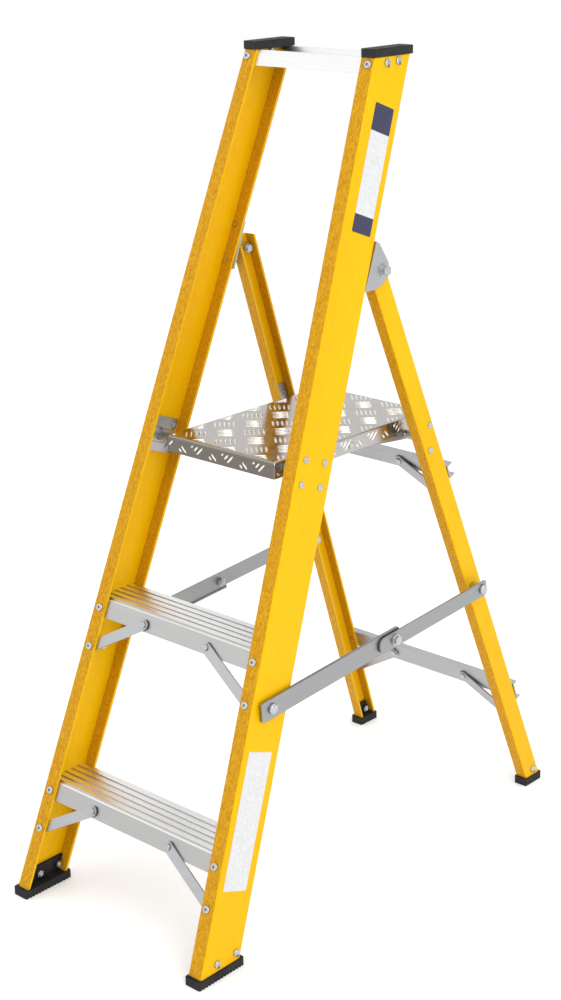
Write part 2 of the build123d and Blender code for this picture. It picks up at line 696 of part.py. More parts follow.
REAR_TONGUE_HEIGHT = 22.0
REAR_TONGUE_INSET = 5.0
REAR_RIVET_INSET = 9.0
DIAGONAL_SEAT = 0.8         # between the brace's web and the diagonals in front of it
DIAGONAL_STAND = 1.9        # between the rear flange and the diagonals' lower ends
BRACE_RIVET_GRIP = 5.95
BRACE_RIVET_STAND = 0.35
DIAGONAL_UPPER_GRIP = 6.3
DIAGONAL_RIVET_REACH = (DIAGONAL_STAND + DIAGONAL_THICK / 2) / LEVEL + REAR_WALL + 0.1
DIAGONAL_RIVET_GRIP = DIAGONAL_RIVET_REACH + DIAGONAL_THICK / 2 + 0.3
DIAGONAL_HEAD_GAP = 0.25


def rear_flange_point(side, inset_x, z, out=0.0):
    """Point on the back face of the rear stile's rear flange."""
    return rear_point(side, inset_x, REAR_DEPTH + out, z)


def rear_web_point(side, place):
    """Point on the outside of the rear stile's web."""
    y, z = place
    return Vector(side * rear_x(z), y, z)


def hinge_clearance():
    """Wedge in front of the rear stiles' tops, which keeps them off the front stiles."""
    back = [(front_y(z, STILE_DEPTH + WEDGE_GAP), z) for z in (WEDGE_LOW, WEDGE_HIGH)]
    front = [(back[1][0] - WEDGE_DEPTH, z) for z in (WEDGE_HIGH, WEDGE_LOW)]
    wedge = polygon([Vector(-WEDGE_HALF, y, z) for y, z in back + front])
    return extrude(wedge, amount=2 * WEDGE_HALF, dir=X)


def rear_stile(side):
    section = channel(rear_x(SOLE), REAR_FLANGE, REAR_FOOT_Y, REAR_DEPTH, REAR_WALL, SOLE, side)
    blank = leaning(section, rear_run(side), REAR_TOP - SOLE) - hinge_clearance()
    inward = X * -side
    square = rear_web_inward(side)
    holes = [(rear_web_point(side, HINGE), inward, HINGE_BOLT + RUNNING),
             (rear_web_point(side, STAY_REAR), inward, STAY_BOLT + SNUG),
             (rear_web_point(side, REAR_FOOT_BOLT), square, SCREW + SNUG)]
    holes += [(rear_web_point(side, place), square, RIVET + SNUG) for place in REST_RIVETS]
    holes += [(p, REAR_NORMAL * -1, RIVET + SNUG) for p, _ in rear_rivets(side)]
    return drilled(blank, holes)


def brace_rivet_place(side, name):
    """Where a rear brace is riveted to the rear flange, on the outside of the brace's web."""
    low, high, _ = REAR_BRACES[name]
    return rear_flange_point(side, REAR_RIVET_INSET, (low + high) / 2, BRACE_WALL + BRACE_RIVET_STAND)


def rear_rivets(side):
    """Rivets behind the rear flange, with their grips: one for each brace and each diagonal."""
    found = []
    for name in REAR_BRACES:
        lower_end = diagonal_points(name, side)[1]
        found += [(brace_rivet_place(side, name), BRACE_RIVET_GRIP),
                  (lower_end + REAR_NORMAL * DIAGONAL_RIVET_REACH, DIAGONAL_RIVET_GRIP)]
    return found


def rear_brace(name):
    """Channel across the back of the rear stiles, with its flanges pointing to the rear."""
    low, high, flange = REAR_BRACES[name]
    middle = (low + high) / 2
    rise = (high - low) * math.hypot(1, REAR_LEAN)
    frame = Plane(origin=Vector(0, rear_y(middle, REAR_DEPTH + SNUG), middle), x_dir=REAR_NORMAL, z_dir=X)
    outer = Pos(flange / 2, 0) * Rectangle(flange, rise)
    hollow = Pos(flange / 2 + BRACE_WALL, 0) * Rectangle(flange, rise - 2 * BRACE_WALL)
    body = spanning(frame * (outer - hollow), rear_x(middle))
    forward = REAR_NORMAL * -1
    holes = []
    for side in SIDES.values():
        holes.append((diagonal_points(name, side)[0], REAR_NORMAL, RIVET + SNUG))
        holes.append((brace_rivet_place(side, name), forward, RIVET + SNUG))
    return drilled(body, holes)


def diagonal_points(name, side):
    (x0, z0), (inset, z1) = DIAGONALS[name]
    middle = DIAGONAL_THICK / 2
    start = Vector(side * x0, rear_y(z0, REAR_DEPTH - DIAGONAL_SEAT - middle), z0)
    end = rear_flange_point(side, inset, z1, -REAR_WALL * LEVEL - DIAGONAL_STAND - middle)
    return start, end


def rear_diagonal(name, side):
    """Flat bar on the front of the brace's web, down to the inside of the rear flange."""
    start, end = diagonal_points(name, side)
    along = (end - start).normalized()
    normal = (REAR_NORMAL - along * REAR_NORMAL.dot(along)).normalized()
    return bar(start, end, normal, DIAGONAL_WIDTH, DIAGONAL_THICK,
               holes=[(start, RIVET + BRACE_HOLE), (end, RIVET + BRACE_HOLE)])


def rest_bracket(side):
    """Plate inside the rear stile's web, with a pin that the platform's side rests on."""
    inset = REAR_WALL + SEAT

    def corner(z, share):
        y = rear_y(z, REAR_WALL * LEVEL + REST_MARGIN + share * REST_PLATE_ACROSS)
        return Vector(side * (rear_x(z) - inset), y, z)

    inward = X * -side
    outline = [corner(REST_LOW, 0), corner(REST_LOW, 1), corner(REST_HIGH, 1), corner(REST_HIGH, 0)]
    body = extrude(polygon(outline), amount=REST_PLATE, dir=inward)
    root = rear_x(LINK_REST[1]) - inset - REST_ROOT
    start = Vector(side * root, *LINK_REST)
    body += rod(start, inward, root - (PLATFORM_HALF - PLATE), LINK_PIN)
    body += rod(start, inward, root - (PLATFORM_HALF + REST_COLLAR_CLEAR), REST_COLLAR)
    square = rear_web_inward(side)
    return drilled(body, [(rear_web_point(side, p), square, RIVET + SNUG) for p in REST_RIVETS])


def rear_foot(side):
    outer = rear_x(SOLE) + REAR_SOLE_MARGIN
    inner = rear_x(SOLE) - REAR_FLANGE - REAR_SOLE_MARGIN
    y1 = REAR_FOOT_Y + REAR_DEPTH
    edges = (REAR_FOOT_Y - REAR_SOLE_PROUD, y1 + REAR_SOLE_PROUD)
    body = ribbed_sole(inner, outer, *edges, grooves=REAR_SOLE_GROOVES)
    x1 = rear_x(SOLE) - REAR_WALL - SEAT
    section = level_box(x1 - REAR_TONGUE, x1, REAR_FOOT_Y + REAR_TONGUE_INSET, y1 - REAR_TONGUE_INSET,
                        SOLE - TONGUE_ROOT)
    body += leaning(section, rear_run(1), REAR_TONGUE_HEIGHT)
    body = body if side > 0 else mirrored(body)
    return drilled(body, [(rear_web_point(side, REAR_FOOT_BOLT), rear_web_inward(side), SCREW + SNUG)])


def build_rear_frame():
    for name, side in SIDES.items():
        keep(f"rear_stile_{name}", rear_stile(side))
        keep(f"rear_foot_{name}", rear_foot(side))
        keep(f"rest_bracket_{name}", rest_bracket(side))
    for name in REAR_BRACES:
        keep(f"rear_brace_{name}", rear_brace(name))
        for side_name, side in SIDES.items():
            keep(f"rear_diagonal_{name}_{side_name}", rear_diagonal(name, side))


def build_rear_fasteners():
    frame_rivets, rest_rivets, foot_bolts = [], [], []
    for side in SIDES.values():
        inward = rear_web_inward(side)
        for place, grip in rear_rivets(side):
            frame_rivets.append(rivet(place, REAR_NORMAL * -1, grip))
        for name in REAR_BRACES:
            upper_end = diagonal_points(name, side)[0]
            front = upper_end - REAR_NORMAL * (DIAGONAL_THICK / 2 + DIAGONAL_HEAD_GAP)
            frame_rivets.append(rivet(front, REAR_NORMAL, DIAGONAL_UPPER_GRIP, WIDE_RIVET_HEAD))
        for place in REST_RIVETS:
            grip = REAR_WALL + REST_PLATE + GRIP_SLACK
            rest_rivets.append(rivet(rear_web_point(side, place), inward, grip))
        foot = rear_web_point(side, REAR_FOOT_BOLT)
        foot_bolts.append(screw(foot, inward, REAR_WALL + REAR_TONGUE + GRIP_SLACK))
    keep("rear_frame_rivets", Compound(children=frame_rivets))
    keep("rest_bracket_rivets", Compound(children=rest_rivets))
    keep("rear_foot_bolts", Compound(children=foot_bolts))


# ---- side stays ---------------------------------------------------------------------------
# Both halves of a stay lie parallel to the ladder's middle plane, so that they can fold together.
ARM_FACE = 168.9            # outer face of the arm
ARM_DEPTH = 4.5
ARM_WIDTH = 28.0
ARM_WALL = 2.2
ARM_CORNER = 4.0
STAY_BAR_WIDTH = 23.0
STAY_BAR_THICK = 3.0
STAY_BAR_ROUND = 10.35      # rounding of the bar's front end, then of its rear end
STAY_BAR_CORNER = 3.0
BAR_GAP = 1.2               # between the arm and the bar that folds over it
BAR_FACE = ARM_FACE + BAR_GAP + STAY_BAR_THICK
ARM_BEFORE = 20.0           # how far each half runs on past its two pivots
ARM_BEYOND = 14.0
BAR_BEFORE = 33.0
BAR_BEYOND = 9.0
NUT_CLEAR = 0.55            # level nuts and spacers stand off the webs, which lean in above them
STAY_HEAD_CLEAR = 0.5       # between a head or spacer and the half that turns beside it
STAY_HEAD = 7.5
STAY_HEAD_HEIGHT = 4.0
STAY_SPACER = 7.0
STAY_NUT = 7.0
STAY_NUT_HEIGHT = 5.5
STAY_TAIL = 6.5
MIDDLE_WASHER = 8.5
MIDDLE_WASHER_THICK = 1.5
MIDDLE_HEAD = 7.0
MIDDLE_HEAD_HEIGHT = 4.6
MIDDLE_TAIL = 8.5
STAY_BOLT_BORE = STAY_BOLT - NUT_OVERLAP


def stay_middle():
    y = STAY_FRONT[0] + (STAY_REAR[0] - STAY_FRONT[0]) * STAY_MIDDLE_SHARE
    z = STAY_FRONT[1] + (STAY_REAR[1] - STAY_FRONT[1]) * STAY_MIDDLE_SHARE
    return y, z


def stay_frame(start, face, side):
    """Plane on a stay's outer face: x along the stay towards the rear, z outward."""
    along = Vector(0, STAY_REAR[0] - STAY_FRONT[0], STAY_REAR[1] - STAY_FRONT[1])
    return Plane(origin=Vector(side * face, *start), x_dir=along, z_dir=X * side)


def stay_length(start, end):
    return math.hypot(end[0] - start[0], end[1] - start[1])


def stay_arm(side):
    """Front half of the stay: a shallow channel with its flanges towards the stile."""
    length = stay_length(STAY_FRONT, stay_middle())
    frame = stay_frame(STAY_FRONT, ARM_FACE, side)
    whole = length + ARM_BEFORE + ARM_BEYOND
    middle = (length + ARM_BEYOND - ARM_BEFORE) / 2
    outline = Rectangle(whole, ARM_WIDTH)
    outline = Pos(middle, 0) * fillet(outline.vertices(), ARM_CORNER)
    body = extrude(frame * outline, amount=-ARM_DEPTH)
    hollow = Pos(middle, 0, -ARM_WALL) * Rectangle(whole + 2, ARM_WIDTH - 2 * ARM_WALL)
    body -= extrude(frame * hollow, amount=-ARM_DEPTH)
    inward = X * -side
    front = Vector(side * ARM_FACE, *STAY_FRONT)
    rear = Vector(side * ARM_FACE, *stay_middle())
    return drilled(body, [(front, inward, STAY_BOLT + RUNNING), (rear, inward, STAY_BOLT + SNUG)])


def stay_bar(side):
    """Rear half of the stay: a flat bar that lies outside the arm."""
    length = stay_length(stay_middle(), STAY_REAR)
    frame = stay_frame(stay_middle(), BAR_FACE, side)
    blank = Rectangle(length + BAR_BEFORE + BAR_BEYOND, STAY_BAR_WIDTH)
    blank = fillet(blank.vertices().group_by(Axis.X)[0], STAY_BAR_ROUND)
    blank = fillet(blank.vertices().group_by(Axis.X)[-1], STAY_BAR_CORNER)
    outline = Pos((length + BAR_BEYOND - BAR_BEFORE) / 2, 0) * blank
    body = extrude(frame * outline, amount=-STAY_BAR_THICK)
    inward = X * -side
    front = Vector(side * BAR_FACE, *stay_middle())
    rear = Vector(side * BAR_FACE, *STAY_REAR)
    return drilled(body, [(front, inward, STAY_BOLT + SNUG), (rear, inward, STAY_BOLT + RUNNING)])


def stay_end_bolt(side, place, web, wall, outer, inner):
    """Bolt fixed in a stile, with a spacer that one half of the stay turns beside."""
    outward = X * side
    inward = outward * -1
    start = Vector(side * (web - wall - NUT_CLEAR), *place)
    spacer = Vector(side * (web + NUT_CLEAR), *place)
    head = Vector(side * (outer + STAY_HEAD_CLEAR), *place)
    body = rod(start, outward, outer + STAY_HEAD_CLEAR - web + wall + NUT_CLEAR, STAY_BOLT)
    body += rod(spacer, outward, inner - STAY_HEAD_CLEAR - web - NUT_CLEAR, STAY_SPACER)
    body += dome(head, outward, STAY_HEAD, STAY_HEAD_HEIGHT)
    body += nut(start, inward, STAY_NUT, STAY_NUT_HEIGHT, STAY_BOLT_BORE)
    return body + rod(start, inward, STAY_TAIL, STAY_BOLT)


def stay_front_bolt(side):
    web = front_x(STAY_FRONT[1])
    return stay_end_bolt(side, STAY_FRONT, web, STILE_WALL, ARM_FACE, ARM_FACE - ARM_WALL)


def stay_rear_bolt(side):
    web = rear_x(STAY_REAR[1])
    return stay_end_bolt(side, STAY_REAR, web, REAR_WALL, BAR_FACE, BAR_FACE - STAY_BAR_THICK)


def stay_middle_bolt(side):
    """Outer half of the middle pivot, fixed in the rear bar."""
    outward = X * side
    face = Vector(side * (BAR_FACE + GAP), *stay_middle())
    body = rod(face, outward * -1, STAY_BAR_THICK + GAP, STAY_BOLT)
    body += rod(face, outward, MIDDLE_WASHER_THICK, MIDDLE_WASHER)
    head = Plane(face + outward * MIDDLE_WASHER_THICK, z_dir=outward) * RegularPolygon(MIDDLE_HEAD, 6)
    return body + extrude(head, amount=MIDDLE_HEAD_HEIGHT)


def stay_middle_nut(side):
    """Inner half of the middle pivot, fixed in the arm."""
    inward = X * -side
    face = Vector(side * ARM_FACE, *stay_middle())
    body = rod(face, inward, ARM_WALL + MIDDLE_TAIL, STAY_BOLT)
    return body + nut(face + inward * (ARM_WALL + GAP), inward, STAY_NUT, STAY_NUT_HEIGHT, STAY_BOLT_BORE)


def build_stays():
    for name, side in SIDES.items():
        keep(f"stay_arm_{name}", stay_arm(side))
        keep(f"stay_bar_{name}", stay_bar(side))
        keep(f"stay_middle_bolt_{name}", stay_middle_bolt(side))
        keep(f"stay_middle_nut_{name}", stay_middle_nut(side))
    keep("stay_front_bolts", pair(stay_front_bolt))
    keep("stay_rear_bolts", pair(stay_rear_bolt))


build_front_frame()
build_front_fasteners()
build_platform()
build_rear_frame()
build_rear_fasteners()
build_stays()

os.makedirs("parts", exist_ok=True)
for name, shape in parts.items():
    export_step(shape, f"parts/{name}.step")
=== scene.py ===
import json
import math

import bmesh
import bpy
from mathutils import Matrix, Vector


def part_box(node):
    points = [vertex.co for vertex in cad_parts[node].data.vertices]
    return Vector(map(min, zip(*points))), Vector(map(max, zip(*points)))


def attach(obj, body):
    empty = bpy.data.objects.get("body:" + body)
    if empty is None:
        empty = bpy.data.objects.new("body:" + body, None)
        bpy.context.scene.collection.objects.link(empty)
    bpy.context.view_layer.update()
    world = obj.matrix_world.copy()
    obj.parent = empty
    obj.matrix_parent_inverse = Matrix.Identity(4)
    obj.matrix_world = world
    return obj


# Looks of a platform step ladder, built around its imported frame. Metres, +Z up, +Y to the rear.

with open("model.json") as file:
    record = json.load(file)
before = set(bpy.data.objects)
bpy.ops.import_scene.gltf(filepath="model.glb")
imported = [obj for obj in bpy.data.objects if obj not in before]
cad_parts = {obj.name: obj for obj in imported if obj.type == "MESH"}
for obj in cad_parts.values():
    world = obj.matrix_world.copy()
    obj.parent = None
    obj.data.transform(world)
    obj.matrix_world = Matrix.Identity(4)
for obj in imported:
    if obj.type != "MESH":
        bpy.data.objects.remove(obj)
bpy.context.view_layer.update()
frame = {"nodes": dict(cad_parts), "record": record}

# ---- driving dimensions -------------------------------------------------------------------
FRONT_LEAN = 0.3823         # rearward run of the front stiles for each unit of height
REAR_LEAN = -0.3811
STAY_RISE = 0.0670          # rise of the side stays for each unit of their run

CELL = 0.0285               # from one row of cells to the next, along the edges of the five-bar plate
BARS = 5
BAR_LENGTH = 0.026
BAR_WIDTH = 0.0040          # width and height of one lens-shaped bar
BAR_HEIGHT = 0.0014
BAR_SPACING = 0.0065
BAR_LEAST = 0.004           # a bar that would come out shorter than this is left out
BAR_STATIONS = 9            # rings along one bar, and the places across it that each ring has
BAR_PROFILE = (-1.0, -0.5, 0.0, 0.5, 1.0)
BAR_TIP = 0.985             # the end rings stop short of the point, so that no ring closes up
BAR_SINK = 0.0002           # how far the bars reach into the plate
SHEET_EDGE = 0.0035         # bars end this far short of the sheet's edges and side bends
FRONT_BEND = 0.006          # bars keep off the rounded bend at the front

RECESS_ARM = 0.0021         # cross recess in the screw heads: half length, half width, thickness
RECESS_HALF_WIDTH = 0.00055
RECESS_THICK = 0.0003
CROWN_REACH = 0.00005       # points this close to the outermost one belong to a head's crown
POINT_DIGITS = 6            # points of one solid that agree to this many digits are one point

LABEL_HALF_LENGTH = 0.0845  # upper sticker, along the stile
LABEL_HEADER = 0.036        # plain dark band at its top, then at its foot
LABEL_FOOTER = 0.024

CAMERA_PLACE = Vector((1.6427, -1.8124, 1.3690))
CAMERA_YAW = math.radians(42.48)
CAMERA_PITCH = math.radians(-18.96)
CAMERA_ROLL = math.radians(-0.854)
CAMERA_LENS = 66.08

WHITE = (1.0, 1.0, 1.0, 1.0)
FLOOR_SIZE = 60
FLOOR_GLOW = 0.10
WORLD_STRENGTH = 0.95
LIGHT_AIM = Vector((0, 0, 0.6))
SOFTBOXES = {               # place, size and power
    "key": ((3.2, -1.2, 2.6), 3.4, 58),
    "fill": ((-2.2, -2.8, 2.0), 3.6, 16),
    "top": ((0.2, 0.6, 3.4), 3.6, 24),
}

X_AXIS = Vector((1, 0, 0))
Y_AXIS = Vector((0, 1, 0))
FRONT_NORMAL = Vector((0, 1, -FRONT_LEAN)).normalized()
REAR_NORMAL = Vector((0, 1, -REAR_LEAN)).normalized()

MIX_A, MIX_B, MIX_COLOUR = 6, 7, 2      # colour sockets of the Mix node
LINE_SHADE = 0.88           # how dark the drawing lines in the aluminium are


# ---- shader helpers -----------------------------------------------------------------------
def srgb(red, green, blue):
    """Linear colour, with alpha, from the usual 0 to 255 values."""
    linear = [((c / 255 + 0.055) / 1.055) ** 2.4 if c > 10 else c / 255 / 12.92 for c in (red, green, blue)]
    return (*linear, 1.0)


def add(tree, kind, inputs, **attributes):
    """New shader node. Inputs are constants or the sockets of other nodes."""
    node = tree.nodes.new("ShaderNode" + kind)
    for name, value in attributes.items():
        setattr(node, name, value)
    for key, value in inputs.items():
        if isinstance(value, bpy.types.NodeSocket):
            tree.links.new(value, node.inputs[key])
        else:
            node.inputs[key].default_value = value
    return node.outputs


def new_material(name, **settings):
    """Material with its shader's own sockets set, and the tree and shader to build on."""
    made = bpy.data.materials.new(name)
    made.use_nodes = True
    tree = made.node_tree
    shader = tree.nodes["Principled BSDF"]
    for key, value in settings.items():
        shader.inputs[key.replace("_", " ")].default_value = value
    return made, tree, shader


def grain(tree, scale, turn=(0.0, 0.0, 0.0), size=1.0, detail=4.0):
    """Noise in the object's own coordinates, turned and stretched."""
    place = add(tree, "TexCoord", {})["Object"]
    place = add(tree, "Mapping", {"Vector": place, "Rotation": turn}, vector_type="TEXTURE")["Vector"]
    place = add(tree, "Mapping", {"Vector": place, "Scale": scale})["Vector"]
    return add(tree, "TexNoise", {"Vector": place, "Scale": size, "Detail": detail})["Fac"]


def spread(tree, value, low, high, to_low=0.0, to_high=1.0):
    """Stretch a value from one range to another."""
    inputs = {"Value": value, "From Min": low, "From Max": high, "To Min": to_low, "To Max": to_high}
    return add(tree, "MapRange", inputs)["Result"]


def mix(tree, factor, first, second):
    """Blend of two colours."""
    inputs = {0: factor, MIX_A: first, MIX_B: second}
    return add(tree, "Mix", inputs, data_type="RGBA")[MIX_COLOUR]


def along(tree, direction, output="Object"):
    """How far a point, or how much the surface normal, lies along a direction."""
    place = add(tree, "TexCoord", {})[output]
    return add(tree, "VectorMath", {0: place, 1: direction}, operation="DOT_PRODUCT")["Value"]


def bump(tree, shader, height, distance, edge=0.0006):
    """Bump over edges that are softened by a small radius."""
    soft = add(tree, "Bevel", {"Radius": edge}, samples=4)["Normal"]
    inputs = {"Height": height, "Distance": distance, "Strength": 1.0, "Normal": soft}
    tree.links.new(add(tree, "Bump", inputs)["Normal"], shader.inputs["Normal"])


# ---- materials ----------------------------------------------------------------------------
def fibreglass(name, lean, normal):
    """Yellow pultrusion: glass fibres along the stile, and painted shade on its flanges, a duller golden
    tone with a real fibre speckle in it.
    """
    made, tree, shader = new_material(name, Specular_IOR_Level=0.12)
    turn = (-math.atan(lean), 0.0, 0.0)
    fibres = grain(tree, (900, 900, 22), turn)
    speckle = grain(tree, (700, 700, 260), turn, detail=6.0)
    clouds = grain(tree, (9, 9, 4), turn, detail=2.0)
    web = mix(tree, spread(tree, fibres, 0.3, 0.7), srgb(226, 172, 0), srgb(236, 186, 0))
    web = mix(tree, spread(tree, clouds, 0.35, 0.7, 0.0, 0.35), web, srgb(222, 160, 0))
    # Painted shade: faces along the flange normal, front and back, take a darker golden colour; only the
    # fibre speckle in it is real grain.
    speckle_and_shade = mix(tree, spread(tree, speckle, 0.35, 0.65), srgb(180, 122, 4), srgb(212, 160, 22))
    shaded_facing = add(tree, "Math", {0: along(tree, normal, "Normal")}, operation="ABSOLUTE")["Value"]
    flange = spread(tree, shaded_facing, 0.75, 0.95)
    tree.links.new(mix(tree, flange, web, speckle_and_shade), shader.inputs["Base Color"])
    tree.links.new(spread(tree, speckle, 0.3, 0.7, 0.33, 0.46), shader.inputs["Roughness"])
    bump(tree, shader, fibres, 0.00006, edge=0.0009)
    return made


def brushed(name, colour, scale, turn=(0.0, 0.0, 0.0), rough=(0.26, 0.42), depth=0.00004, front=None):
    """Aluminium with drawing lines, soft stains and uneven shine. Its front walls can take painted shade, a
    darker colour on faces that face forward.
    """
    made, tree, shader = new_material(name, Metallic=1.0, Anisotropic=0.35)
    lines = grain(tree, scale, turn, detail=5.0)
    stains = grain(tree, (26, 26, 26), detail=3.0)
    dark = tuple(c * LINE_SHADE for c in colour[:3]) + (1.0,)
    wear_and_shade = mix(tree, spread(tree, lines, 0.3, 0.7), dark, colour)
    wear_and_shade = mix(tree, spread(tree, stains, 0.55, 0.80, 0.0, 0.35), wear_and_shade, dark)
    # Painted shade: walls that face forward are blended to the darker front colour; the lines and stains
    # before it are real wear.
    if front:
        shaded_facing = spread(tree, along(tree, Y_AXIS * -1, "Normal"), 0.5, 0.85)
        wear_and_shade = mix(tree, shaded_facing, wear_and_shade, front)
    tree.links.new(wear_and_shade, shader.inputs["Base Color"])
    tree.links.new(spread(tree, lines, 0.3, 0.7, *rough), shader.inputs["Roughness"])
    bump(tree, shader, lines, depth)
    return made


def zinc():
    """Zinc plating with faint spots."""
    made, tree, shader = new_material("zinc_plate", Metallic=1.0)
    spots = grain(tree, (420, 420, 420), detail=3.0)
    tree.links.new(mix(tree, spots, srgb(150, 156, 162), srgb(214, 217, 220)), shader.inputs["Base Color"])
    tree.links.new(spread(tree, spots, 0.3, 0.7, 0.18, 0.38), shader.inputs["Roughness"])
    bump(tree, shader, spots, 0.00003, edge=0.0004)
    return made


def moulded(name, dark, pale, rough, size, depth):
    """Black plastic or rubber: a fine moulded texture with dusty wear."""
    made, tree, shader = new_material(name, Specular_IOR_Level=0.35)
    texture = grain(tree, (size, size, size), detail=5.0)
    dust = grain(tree, (38, 38, 38), detail=4.0)
    colour = mix(tree, spread(tree, dust, 0.45, 0.8, 0.0, 0.6), dark, pale)
    tree.links.new(colour, shader.inputs["Base Color"])
    tree.links.new(spread(tree, texture, 0.3, 0.7, *rough), shader.inputs["Roughness"])
    bump(tree, shader, texture, depth, edge=0.0008)
    return made


def sticker(name, node, banded):
    """Plain film sticker. The upper one has an unprinted coloured band at each end."""
    made, tree, shader = new_material(name, Roughness=0.38, Coat_Weight=0.3)
    film = grain(tree, (240, 240, 240), detail=3.0)
    colour = mix(tree, spread(tree, film, 0.3, 0.7), srgb(198, 199, 201), srgb(214, 215, 216))
    if banded:
        up = Vector((0, FRONT_LEAN, 1)).normalized()
        low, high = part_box(node)
        middle = ((low + high) / 2).dot(up)
        height = along(tree, up)
        top = middle + LABEL_HALF_LENGTH - LABEL_HEADER
        foot = middle - LABEL_HALF_LENGTH + LABEL_FOOTER
        header = add(tree, "Math", {0: height, 1: top}, operation="GREATER_THAN")["Value"]
        footer = add(tree, "Math", {0: height, 1: foot}, operation="LESS_THAN")["Value"]
        both = add(tree, "Math", {0: header, 1: footer}, operation="MAXIMUM")["Value"]
        colour = mix(tree, both, colour, srgb(26, 28, 66))
    tree.links.new(colour, shader.inputs["Base Color"])
    bump(tree, shader, film, 0.00001, edge=0.0002)
    return made


def recess_shade_material():
    """Painted shade in the recess of a screw's head, a mottled dark grey."""
    made, tree, shader = new_material("screw_recess_painted_shade", Metallic=0.6, Roughness=0.55)
    shade_mottle = grain(tree, (900, 900, 900), detail=2.0)
    tree.links.new(mix(tree, shade_mottle, srgb(24, 26, 30), srgb(62, 64, 68)), shader.inputs["Base Color"])
    return made


STAY_TURN = (math.atan(STAY_RISE), 0.0, 0.0)
ALUMINIUM = srgb(184, 185, 187)
by_slot = {
    # The tread's forward-facing walls get painted shade, srgb(178, 178, 177).
    "tread_aluminium": brushed("tread_aluminium", srgb(250, 250, 250), (10, 700, 700), depth=0.00002,
                               front=srgb(178, 178, 177)),
    "aluminium": brushed("mill_aluminium", ALUMINIUM, (260, 60, 260), rough=(0.30, 0.46)),
    # The plate's forward-facing walls get painted shade, srgb(112, 107, 100).
    "checker_plate": brushed("checker_plate", srgb(186, 183, 178), (70, 70, 70), rough=(0.12, 0.24),
                             depth=0.00001, front=srgb(112, 107, 100)),
    "zinc": zinc(),
    "black_plastic": moulded("cap_plastic", srgb(18, 18, 20), srgb(44, 44, 46), (0.42, 0.62), 900, 0.00012),
    "rubber": moulded("foot_rubber", srgb(20, 20, 21), srgb(52, 51, 50), (0.60, 0.80), 700, 0.00010),
}
stile_front = fibreglass("fibreglass_front", FRONT_LEAN, FRONT_NORMAL)
stile_rear = fibreglass("fibreglass_rear", REAR_LEAN, REAR_NORMAL)
stay_metal = brushed("stay_aluminium", srgb(160, 161, 163), (900, 12, 900), STAY_TURN, rough=(0.28, 0.44))
bar_metal = brushed("bar_crowns", srgb(244, 242, 238), (90, 90, 90), rough=(0.06, 0.14), depth=0.00001)
rail_metal = brushed("rail_aluminium", srgb(232, 232, 233), (10, 700, 700), depth=0.00002)
cross_metal = brushed("brace_aluminium", ALUMINIUM, (12, 900, 900), rough=(0.28, 0.44))


def material_for(name, slot):
    """The finish of one CAD node, from its slot and, where pieces differ in grain, its name."""
    if slot == "fibreglass":
        return stile_front if name.startswith("front") else stile_rear
    if slot == "label":
        return sticker(name + "_film", name, name == "label_upper")
    if name.startswith("stay_") and slot == "aluminium":
        return stay_metal
    if name.startswith(("rear_brace", "rear_diagonal", "tread_brace")):
        return cross_metal
    if name == "top_rail":
        return rail_metal
    return by_slot[slot]


def paint_nodes():
    for part in frame["record"]["subparts"]:
        piece = frame["nodes"][part["node"]]
        piece.data.materials.clear()
        piece.data.materials.append(material_for(part["node"], part["material_slot"]))


# ---- added pieces -------------------------------------------------------------------------
def new_piece(name, mesh, material, body):
    """Turn a finished mesh into a piece that rides on a body."""
    mesh.normal_update()
    data = bpy.data.meshes.new(name)
    mesh.to_mesh(data)
    mesh.free()
    piece = bpy.data.objects.new(name, data)
    bpy.context.scene.collection.objects.link(piece)
    data.materials.append(material)
    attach(piece, body)
    return piece


def raised_bar(mesh, centre, direction, up, length):
    """One closed, lens-shaped bar that stands on a surface."""
    across = up.cross(direction)
    rings = []
    for station in range(BAR_STATIONS):
        share = (2 * station / (BAR_STATIONS - 1) - 1) * BAR_TIP
        swell = math.sqrt(1 - share * share)
        ring = []
        for side in BAR_PROFILE:
            rise = BAR_HEIGHT * swell * (1 - side * side) - BAR_SINK
            offset = direction * (share * length / 2) + across * (side * swell * BAR_WIDTH / 2) + up * rise
            ring.append(mesh.verts.new(centre + offset))
        rings.append(ring)
    for first, second in zip(rings, rings[1:]):
        for index in range(len(first)):
            following = (index + 1) % len(first)
            face = mesh.faces.new((first[index], second[index], second[following], first[following]))
            face.smooth = True
    mesh.faces.new(rings[0])
    mesh.faces.new(rings[-1][::-1])


def clipped(middle, direction, low, high):
    """Where a bar starts and ends along its direction, inside a rectangle of the sheet."""
    start, end = -BAR_LENGTH / 2, BAR_LENGTH / 2
    for place, step, least, most in zip(middle, direction, low, high):
        first, last = sorted(((least - place) / step, (most - place) / step))
        start, end = max(start, first), min(end, last)
    return start, end


def bars_on(mesh, origin, u_axis, v_axis, low, high):
    """Cells of five bars, at 45 degrees to the sheet's edges, on one flat of the folded sheet."""
    up = u_axis.cross(v_axis)
    for column in range(math.floor(low[0] / CELL) - 1, math.ceil(high[0] / CELL) + 2):
        for row in range(math.floor(low[1] / CELL) - 1, math.ceil(high[1] / CELL) + 2):
            if (column + row) % 2:
                continue
            direction = Vector((-1 if column % 2 else 1, 1)).normalized()
            across = direction.orthogonal()
            for number in range(BARS):
                middle = Vector((column, row)) * CELL + across * ((number - (BARS - 1) / 2) * BAR_SPACING)
                start, end = clipped(middle, direction, low, high)
                if end - start > BAR_LEAST:
                    u, v = middle + direction * ((start + end) / 2)
                    run = u_axis * direction.x + v_axis * direction.y
                    raised_bar(mesh, origin + u_axis * u + v_axis * v, run, up, end - start)


